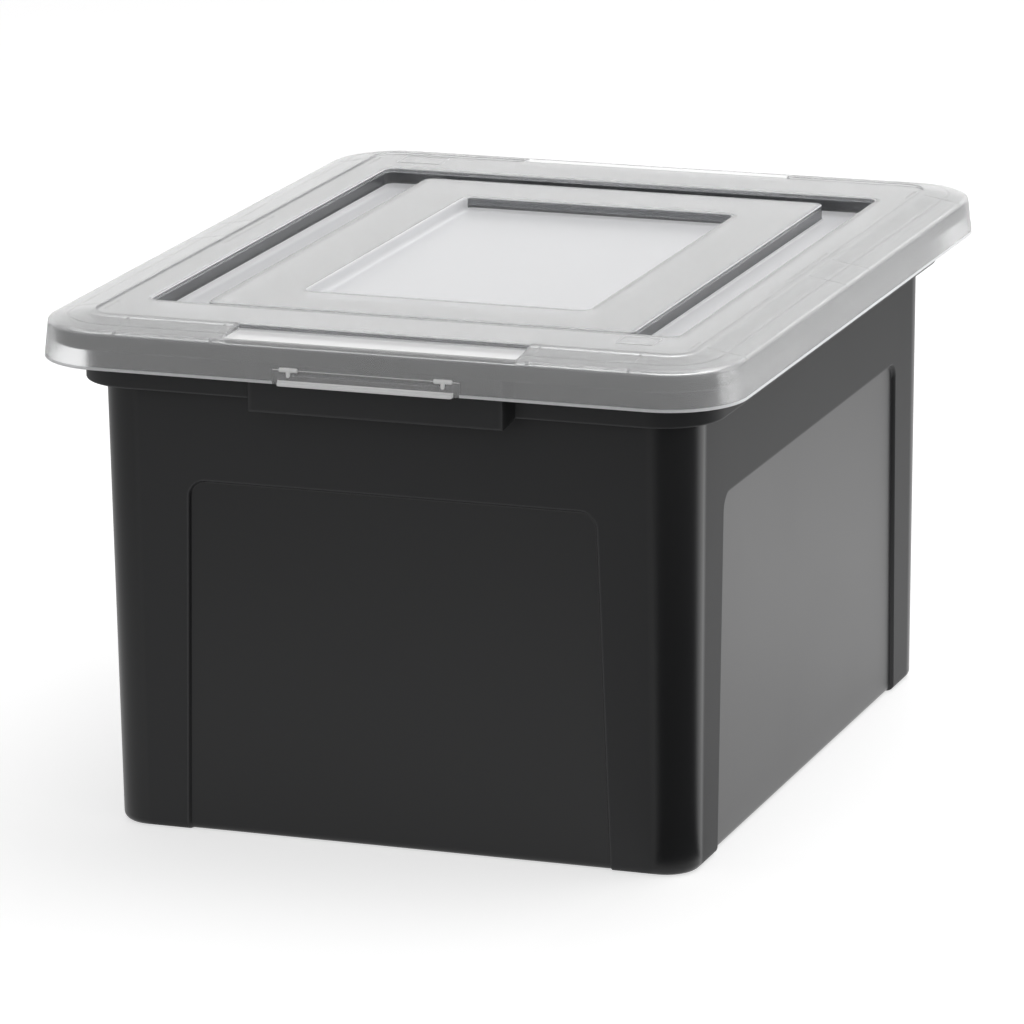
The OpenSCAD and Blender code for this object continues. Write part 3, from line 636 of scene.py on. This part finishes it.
inside_skirt = rows_about(RIM_CORNER, np.column_stack([skirt_radius(skirt_levels) - LID_T, skirt_levels])[::-1])
hem = rows_about(RIM_CORNER, arc(HEM_RADIUS - 0.95, HEM_Z + 0.3, 0.35, -150, -90, 2).tolist()
                 + arc(HEM_RADIUS - 0.45, HEM_Z + 0.4, 0.4, -90, -20, 3).tolist())
outside_skirt = rows_about(RIM_CORNER, np.column_stack([skirt_radius(skirt_levels), skirt_levels]))
edge_rows = [*arc(skirt_radius(256.2) - 1.9, 256.2, 1.9, 2, 72, 6), (33.95, float(border_z(33.95)))]
border = rows_about(RIM_CORNER, [
    *edge_rows, *np.column_stack([slope_r, border_z(slope_r)]),
    (13.9, border_z(13.9)), (13.4, border_z(13.4) - 0.02), (13.0, 261.95), (12.7, 261.8), (12.52, 261.5),
    (12.5, 261.2), (12.45, 260.95), (12.3, 260.8), (12.05, 260.78), (11.85, 260.95), (11.75, 261.15),
    (11.5, 261.28), (11.1, SHELF_Z)])
notch = rows_about(RIM_CORNER, [
    *edge_rows[:-1], (33.95, NOTCH_Z), *np.column_stack([slope_r, np.full(12, NOTCH_Z)]),
    (13.9, 258.4), (13.3, 258.7), (12.9, 259.2), (12.72, 259.8), (12.62, 260.3), (12.55, 260.6),
    (12.45, 260.85), (12.3, 261.05), (12.1, 261.18), (11.9, 261.26), (11.7, 261.29), (11.5, SHELF_Z),
    (11.1, SHELF_Z)])
channel = rows_about(CHANNEL_CORNER, [
    (7.0, SHELF_Z), *arc(6.0, SHELF_Z - 1.0, 1.0, 90, 180, 4), (5.0, 257.5),
    *arc(5.0 - 4.0, CHANNEL_Z + 4.0, 4.0, 0, -90, 7)])
panel = rows_about(PANEL_CORNER, [
    *arc(8.0, CHANNEL_Z + 2.0, 2.0, -90, -180, 4), (6.0, 256.0), *arc(5.0, PANEL_Z - 1.0, 1.0, 0, 90, 4),
    (3.0, PANEL_Z)])
window = rows_about(WINDOW_CORNER, [
    (7.4, PANEL_Z), *arc(6.1, PANEL_Z - 1.1, 1.1, 90, 180, 4), (5.0, 256.2),
    *arc(5.0 - 2.4, WINDOW_Z + 2.4, 2.4, 0, -90, 6), (1.0, WINDOW_Z)])

barrel_edges = [BARREL_MIDDLE - BARREL_POCKET_HALF, BARREL_MIDDLE + BARREL_POCKET_HALF]
lid_end_stops = mirrored_stops(
    [0, 12, 24, *barrel_edges, FLAP_HOLE_HALF, 52, 60, 67, 71, 73, *np.arange(73.6, 76.2, 0.4),
     77, 79, 82, 90, 100, 112, 124, 134], RIM_CORNER[0])
lid_side_stops = mirrored_stops([0, 20, 45, 70, 95, 120, 145, 165, 178], RIM_CORNER[1])
lid_columns = round_the_corners(lid_end_stops, lid_side_stops, 20)
lid_sections = [under_window, under_panel, under_channel, under_border, inside_skirt, hem, outside_skirt, border,
                channel, panel, window]
notched_sections = [under_window, under_panel, under_channel, under_notch, inside_skirt, hem, outside_skirt, notch,
                    channel, panel, window]
inside_end, hem_end, skirt_end, border_end, _, panel_end, _ = np.cumsum([len(rows) for rows in lid_sections])[4:]
lid_grid = carry(lid_columns, np.vstack(lid_sections))
notched_grid = carry(lid_columns, np.vstack(notched_sections))
lid_reach = np.where(np.isin(lid_columns["side"], (1, 3)), np.abs(lid_columns["along"]) * RIM_CORNER[0], np.inf)
notch_share = np.clip((NOTCH_HALF + NOTCH_DRAFT - lid_reach) / NOTCH_DRAFT, 0.0, 1.0)
notch_share = notch_share * notch_share * (3.0 - 2.0 * notch_share)
lid_grid += notch_share[None, :, None] * (notched_grid - lid_grid)

lid_n_rows, lid_n_columns = lid_grid.shape[:2]
inner_level = inside_end - 1 - np.arange(len(skirt_levels))
outer_level = hem_end + np.arange(len(skirt_levels))


def opening_tops(reach):
    """The top height of the opening in each cell between two columns, by its distance from the side's middle: the
    flap's opening, a barrel's pocket, or none."""
    middle = (reach + np.roll(reach, -1)) / 2
    top = np.where(middle < FLAP_HOLE_HALF, FLAP_HOLE_TOP_Z, -np.inf)
    return np.where(np.abs(middle - BARREL_MIDDLE) < BARREL_POCKET_HALF, BARREL_POCKET_TOP_Z, top)


opening_top = opening_tops(lid_reach)
cell_open = np.zeros((lid_n_rows - 1, lid_n_columns), bool)
level_top = skirt_levels[1:]
for k, z in enumerate(level_top):
    cell_open[outer_level[k]] |= opening_top >= z - TOUCHING
    cell_open[inner_level[k + 1]] |= opening_top >= z - TOUCHING
cell_open[inner_level[0]:outer_level[0]] |= np.isfinite(opening_top) & (opening_top > 0)
lid_faces = ring_quads(lid_n_rows, lid_n_columns)[~cell_open].tolist()


def opening_walls(open_cells):
    """Walls through the skirt round its openings: each edge between an open and a closed cell of the outside
    joins the same edge of the inside, level by level, and the hem's rounding closes with one face."""
    walls = []
    n = lid_n_columns
    for j in np.flatnonzero(open_cells.any(0) | np.roll(open_cells.any(0), 1)):
        for k in range(len(level_top)):
            here, left = open_cells[outer_level[k], j], open_cells[outer_level[k], j - 1]
            o0, o1 = outer_level[k] * n + j, outer_level[k + 1] * n + j
            i0, i1 = inner_level[k] * n + j, inner_level[k + 1] * n + j
            if here and not left:
                walls.append([o0, i0, i1, o1])
            elif left and not here:
                walls.append([o0, o1, i1, i0])
            if here and not open_cells[outer_level[k + 1], j]:
                o2, i2 = outer_level[k + 1] * n + (j + 1) % n, inner_level[k + 1] * n + (j + 1) % n
                walls.append([o1, i1, i2, o2])
        hem_line = [row * n + j for row in range(inner_level[0], outer_level[0] + 1)]
        here, left = open_cells[outer_level[0], j], open_cells[outer_level[0], j - 1]
        if here and not left:
            walls.append(hem_line)
        elif left and not here:
            walls.append(hem_line[::-1])
    return walls


lid_faces += opening_walls(cell_open)
lid_faces += [list(range(lid_n_columns))[::-1],
              list(range((lid_n_rows - 1) * lid_n_columns, lid_n_rows * lid_n_columns))]
used = np.zeros(lid_n_rows * lid_n_columns, bool)
for face in lid_faces:
    used[face] = True
renumber = np.cumsum(used) - 1
lid_faces = [[int(renumber[v]) for v in face] for face in lid_faces]

# The flat tops are frosted. The floors and edges of what is sunk, and the hem, are milkier and lighter: a
# painted sheen on the floors and painted highlight lines along the edges. The floors of the gaps above the
# latches are painted brightest, a painted light. Upright walls get a darker tint, a painted shade for how dark
# they look seen through their whole height, but the window's side walls stay light. The underside is polished.
FROSTED, MILKY_HIGHLIT, WALL_SHADED, PAINTED_BRIGHT = range(4)
lid_row = np.arange(lid_n_rows)[:, None]
underside = np.broadcast_to(lid_row < inside_end, lid_grid.shape[:2])
cell_row = np.repeat(np.arange(lid_n_rows - 1), lid_n_columns)[~cell_open.ravel()]
step_along = np.roll(lid_grid, -1, axis=1) - lid_grid
cell_normal = np.cross(step_along[:-1], lid_grid[1:] - lid_grid[:-1])
upward = (cell_normal[..., 2] / np.linalg.norm(cell_normal, axis=-1))[~cell_open]
cell_z = ((lid_grid[:-1, :, 2] + lid_grid[1:, :, 2]) / 2)[~cell_open]
notched = np.broadcast_to(notch_share > 0.5, cell_open.shape)[~cell_open]
sideways = np.broadcast_to(np.abs(lid_columns["outward"][:, 0]) > 0.7, cell_open.shape)[~cell_open]
sunk = (cell_row >= border_end) | (cell_row > skirt_end + len(edge_rows)) & notched
low = (cell_z < WINDOW_Z + 2.0) | notched & (cell_z < NOTCH_Z + 0.1)
cell_kind = np.where(sunk & (upward < 0.4), WALL_SHADED, np.where(sunk & (low | (upward < 0.93)), MILKY_HIGHLIT, FROSTED))
cell_kind[(cell_kind == WALL_SHADED) & (cell_row >= panel_end) & sideways] = MILKY_HIGHLIT
cell_kind[(cell_kind == MILKY_HIGHLIT) & low & notched & (cell_row < border_end)] = PAINTED_BRIGHT
# The hem's rounding gets the milky material too, a painted highlight line along the skirt's lower edge.
cell_kind[(cell_row >= inside_end - 1) & (cell_row <= hem_end)] = MILKY_HIGHLIT
# The openings' walls and the window's underside come after the cells, and the window's floor comes last.
lid_kind = [*cell_kind.tolist(), *[FROSTED] * (len(lid_faces) - len(cell_kind) - 1), MILKY_HIGHLIT]

# The edge colours are a little lighter than each body colour: a painted highlight along the edges as well as
# handling wear.
lid_edge_wear_and_highlight = (0.97, 0.975, 0.98)
lid_skin = {"grain": (1500.0, 0.00001), "flow": (14.0, 0.04)}
lid_frosted = plastic("lid_frosted", (0.94, 0.945, 0.95), lid_edge_wear_and_highlight, 0.25, spread=0.02, polish=0.08,
                      transmission=0.86, **lid_skin)
# Milky: lighter and less clear than frosted, a painted sheen and painted highlight.
lid_milky_highlit = plastic("lid_milky_highlit", (0.91, 0.915, 0.93), lid_edge_wear_and_highlight, 0.35, spread=0.05, transmission=0.25,
                    specular=0.35, **lid_skin)
# Bright: nearly white and nearly opaque, a painted light on the floors of the gaps above the latches.
lid_bright_painted = plastic("lid_bright_painted", (0.985, 0.987, 0.99), lid_edge_wear_and_highlight, 0.22, spread=0.02, transmission=0.1, **lid_skin)
# Wall: a grey tint on clear plastic, a painted shade on the upright walls.
lid_wall_shaded = plastic("lid_wall_shaded", (0.42, 0.43, 0.45), (0.60, 0.61, 0.63), 0.21, spread=0.03, transmission=0.9,
                   **lid_skin)
lid_worn_and_lit_edges = LID_WEAR_AND_HIGHLIGHT * edge_strength(lid_grid)
lid_shell = moulded_piece(
    "lid_shell", lid_grid.reshape(-1, 3)[used], lid_faces, "lid",
    [lid_frosted, lid_milky_highlit, lid_wall_shaded, lid_bright_painted], which=lid_kind,
    masks=[("edge", lid_worn_and_lit_edges.ravel()[used]), ("polish", underside.ravel()[used])])
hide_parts("lid")


# ---- Ribs under the lid ----
# Thin ribs moulded with the lid: a ring that sits on the rim, cross ribs from the stacking step to the skirt, and
# guide ribs that hang inside the rim. They show through the frosted plastic.

RIB_HALF_T = 0.75
RIB_LOW_Z = 255.85
RIB_SINK = 0.3
SEAT_RADII = (24.8, 26.3)
GUIDE_LOW_Z = 246.0
SIDE_GUIDE_OUT = 149.6
END_GUIDE_OUT = 200.8
END_RIBS_X = (-131.0, -80.5, 80.5, 131.0)
SIDE_RIBS_Y = (-180.0, -19.0, 19.0, 180.0)
SIDE_GUIDES = ((33.5, 0.0), (9.25, 179.0), (9.25, -179.0))  # half length, place along y
END_GUIDES = ((29.5, -105.0), (29.5, 105.0))  # half length, place along x


def flat_plate(outline, half_t, middle, direction):
    """A plate of even thickness: each outline point (along, z) is set along a level direction from the middle,
    and half the thickness to both sides. Gives its points and faces."""
    outline = np.asarray(outline, float)
    direction, middle = np.asarray(direction, float), np.asarray(middle, float)
    across = np.array([direction[1], -direction[0]])
    plan = middle + outline[:, :1] * direction
    n = len(outline)
    points = np.vstack([np.column_stack([plan + s * half_t * across, outline[:, 1]]) for s in (1, -1)])
    k = np.arange(n)
    around = np.column_stack([k, k + n, (k + 1) % n + n, (k + 1) % n]).tolist()
    return points, [list(range(n)), list(range(n, 2 * n))[::-1]] + around


def joined(parts):
    """Several closed shells as one list of points and one list of faces."""
    points, faces, first = [], [], 0
    for part_points, part_faces in parts:
        points.append(part_points)
        faces += [[v + first for v in face] for face in part_faces]
        first += len(part_points)
    return np.vstack(points), faces


def seat_section(top_z):
    """The ring's section: a rectangle between its two radii, from the ribs' lower edge up to a height."""
    low, high = SEAT_RADII
    return rows_about(RIM_CORNER, [(low, RIB_LOW_Z), (high, RIB_LOW_Z), (high, top_z), (low, top_z)])


def guide_outline(half_length):
    """A guide rib's outline: a rectangle from its lower edge up into the shelf."""
    top_z = SHELF_Z - LID_T + RIB_SINK
    return [(-half_length, GUIDE_LOW_Z), (half_length, GUIDE_LOW_Z), (half_length, top_z), (-half_length, top_z)]


seat = carry(lid_columns, seat_section(border_z(SEAT_RADII[1]) - LID_T + RIB_SINK))
seat_notched = carry(lid_columns, seat_section(NOTCH_Z - LID_T + RIB_SINK))
seat += notch_share[None, :, None] * (seat_notched - seat)
rib_parts = [(seat.reshape(-1, 3), ring_quads(4, lid_n_columns, closed_rows=True).reshape(-1, 4).tolist())]
rib_r = np.array([14.8, 20.0, 27.0, 33.6])
rib_outline = [(14.8, RIB_LOW_Z), (34.0, RIB_LOW_Z),
               *np.column_stack([rib_r, border_z(rib_r) - LID_T + RIB_SINK])[::-1]]
for sign in (-1, 1):
    for x in END_RIBS_X:
        rib_parts.append(flat_plate(rib_outline, RIB_HALF_T, (x, sign * RIM_CORNER[1]), (0, sign)))
    for y in SIDE_RIBS_Y:
        rib_parts.append(flat_plate(rib_outline, RIB_HALF_T, (sign * RIM_CORNER[0], y), (sign, 0)))
    for half_length, y in SIDE_GUIDES:
        rib_parts.append(flat_plate(guide_outline(half_length), RIB_HALF_T, (sign * SIDE_GUIDE_OUT, y), (0, 1)))
    for half_length, x in END_GUIDES:
        rib_parts.append(flat_plate(guide_outline(half_length), RIB_HALF_T, (x, sign * END_GUIDE_OUT), (1, 0)))
rib_points, rib_faces = joined(rib_parts)
moulded_piece("lid_ribs", rib_points, rib_faces, "lid", [lid_frosted])


# ---- Bare marks ----
# Two low frames moulded on the shelf near opposite corners. The real ones hold small symbols, these stay bare.

mark_parts = []
for middle, half in (((121.5, -177.5), (9.5, 7.5)), ((-124.5, 186.5), (12.5, 8.5))):
    frame_columns = round_the_corners([], [], 4)
    frame_rows = rows_about((half[0] - 1.0, half[1] - 1.0), [
        (0.55, SHELF_Z - 0.2), (1.0, SHELF_Z - 0.2), (0.92, SHELF_Z + 0.12), (0.63, SHELF_Z + 0.12)])
    frame_grid = carry(frame_columns, frame_rows) + (*middle, 0.0)
    mark_parts.append((frame_grid.reshape(-1, 3),
                       ring_quads(4, frame_grid.shape[1], closed_rows=True).reshape(-1, 4).tolist()))
mark_points, mark_faces = joined(mark_parts)
moulded_piece("bare_marks", mark_points, mark_faces, "lid", [lid_milky_highlit])


# ---- Latches ----
# Each flap is the part of the skirt below a thin bending line, with a finger lip along its lower edge, a snap ridge
# inside, and two small bars on the line. The lip is painted white, a painted highlight where light from above
# catches it; the bending line and the bars are painted white, partly as plastic whitened by bending and partly
# as a painted highlight.

FLAP_HALF = 47.6
LIP_HALF = 44.8
LIP_END_RADIUS = 1.4
LIP_ROWS = (2, 11)
HINGE_OUT = 223.865
BARREL_RADIUS = 1.1
BARREL_HALF = 4.75
STEM_MIDDLE_Z = 244.3
LINE_LOW_Z = 245.87
LINE_TOP_Z = 246.24
LINE_HALF_T = 0.12

# Sections as (distance to the front, height), the plain one and the one with the finger lip and the snap ridge.
flap_plain = np.array([
    (222.8, 239.3), (223.0, 239.05), (223.9, 239.0), (224.3, 239.0), (224.6, 239.0), (224.82, 239.1),
    (224.92, 239.3), (224.89, 239.6), (224.85, 240.0), (224.82, 240.3), (224.79, 240.55), (224.76, 240.8),
    (224.7, 241.4), (224.45, 243.5), (224.24, 245.4), (224.16, 245.7), (223.95, 245.85), (222.6, 245.9),
    (222.25, 245.8), (222.1, 245.6), (222.05, 245.3), (222.08, 244.9), (222.12, 244.5), (222.2, 243.6),
    (222.3, 242.9), (222.5, 241.3)])
flap_lipped = flap_plain.copy()
flap_lipped[1:13] = [
    (223.1, 238.85), (223.9, 238.7), (225.6, 238.7), (227.1, 238.7), (227.55, 238.85), (227.75, 239.2),
    (227.75, 239.75), (227.55, 240.15), (227.1, 240.3), (225.7, 240.36), (225.1, 240.55), (224.74, 241.2)]
flap_lipped[17:24] = [
    (222.4, 245.9), (221.3, 245.9), (220.8, 245.7), (220.65, 245.3), (220.65, 244.9), (220.7, 244.5),
    (221.5, 243.6)]
flap_x = mirrored_stops(
    [0, 12, 24, 34, 41, 43, *(LIP_HALF - LIP_END_RADIUS * np.cos(np.radians(np.arange(10, 91, 16)))),
     45.2, 46.4, 47.3, FLAP_HALF], 1.0)
past_lip = np.maximum(np.abs(flap_x) - (LIP_HALF - LIP_END_RADIUS), 0.0) / LIP_END_RADIUS
lip_share = np.sqrt(np.clip(1.0 - past_lip ** 2, 0.0, 1.0))


def flap_surface():
    """The flap's closed section carried along x. The section goes from plain to lipped by a quarter-circle share
    near the lip's ends, and two flat faces close the ends. Gives points, faces and which faces are the lip's,
    which get the white material as a painted highlight."""
    section = flap_plain[:, None] + lip_share[None, :, None] * (flap_lipped - flap_plain)[:, None]
    n, m = section.shape[:2]
    points = np.dstack([np.broadcast_to(flap_x, (n, m)), -section[..., 0], section[..., 1]]).reshape(-1, 3)
    i, j = np.arange(n)[:, None], np.arange(m - 1)[None]
    i1 = (i + 1) % n
    quads = np.stack([i * m + j, i * m + j + 1, i1 * m + j + 1, i1 * m + j], axis=-1)
    on_lip = (i >= LIP_ROWS[0]) & (i <= LIP_ROWS[1]) & (np.abs(flap_x[None, :-1] + flap_x[None, 1:]) / 2 < LIP_HALF)
    faces = quads.reshape(-1, 4).tolist() + [(np.arange(n) * m).tolist(), (np.arange(n) * m + m - 1).tolist()[::-1]]
    return points, faces, [*np.broadcast_to(on_lip, (n, m - 1)).ravel().astype(int), 0, 0]


def barrel(x_middle):
    """A turned bar with rounded ends: its radius r(x) is carried round the hinge line."""
    ends = arc(BARREL_HALF - 0.4, BARREL_RADIUS - 0.4, 0.4, 0, 90, 3)
    section = np.vstack([[(BARREL_HALF, 0.3)], ends, (ends * (-1, 1))[::-1], [(-BARREL_HALF, 0.3)]])
    angle = np.radians(np.arange(0, 360, 15))
    grid = np.dstack(np.broadcast_arrays(
        x_middle + section[:, :1], -HINGE_OUT - section[:, 1:] * np.cos(angle),
        HINGE_Z + section[:, 1:] * np.sin(angle)))
    n, m = grid.shape[:2]
    faces = ring_quads(n, m).reshape(-1, 4).tolist() + [list(range(m))[::-1], list(range((n - 1) * m, n * m))]
    return grid.reshape(-1, 3), faces


def stem(x_middle):
    """A small upright bar on the skirt: a stadium outline raised off the sloping face, rounded at its top edge."""
    section = [(1.0, -0.5), (1.0, 0.35), *arc(0.65, 0.35, 0.35, 20, 90, 3)]
    grid = carry(round_the_corners([], [0.0], 6), rows_about((0.0, 0.75), section))
    z = STEM_MIDDLE_Z + grid[..., 1]
    points = np.dstack([x_middle + grid[..., 0], -(RIM_CORNER[1] + skirt_radius(z) + grid[..., 2]), z])
    n, m = points.shape[:2]
    faces = ring_quads(n, m).reshape(-1, 4).tolist() + [list(range(m))[::-1], list(range((n - 1) * m, n * m))]
    return points.reshape(-1, 3), faces


# White: a painted highlight on the lip, and on the bending line and bars both whitened plastic and painted
# highlight.
latch_white_highlit = plastic("latch_white_highlit", (0.97, 0.97, 0.97), (0.98, 0.98, 0.98), 0.35, grain=(1500.0, 0.00001))
flap_points, flap_faces, flap_which = flap_surface()
bending_line = flat_plate(
    [(-FLAP_HALF, LINE_LOW_Z), (FLAP_HALF, LINE_LOW_Z), (FLAP_HALF, LINE_TOP_Z), (-FLAP_HALF, LINE_TOP_Z)],
    LINE_HALF_T, (0.0, -HINGE_OUT), (1, 0))
whitened_and_highlit = joined([bending_line, *(part(s * BARREL_MIDDLE) for s in (-1, 1) for part in (barrel, stem))])
latch_points, latch_faces = joined([(flap_points, flap_faces), whitened_and_highlit])
latch_which = flap_which + [1] * len(whitened_and_highlit[1])
for name, node, turn in (("front_latch_flap", "front_latch", 1), ("rear_latch_flap", "rear_latch", -1)):
    flap = moulded_piece(name, latch_points * (turn, turn, 1), latch_faces, node,
                         [lid_frosted, latch_white_highlit], which=latch_which)
    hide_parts(node)
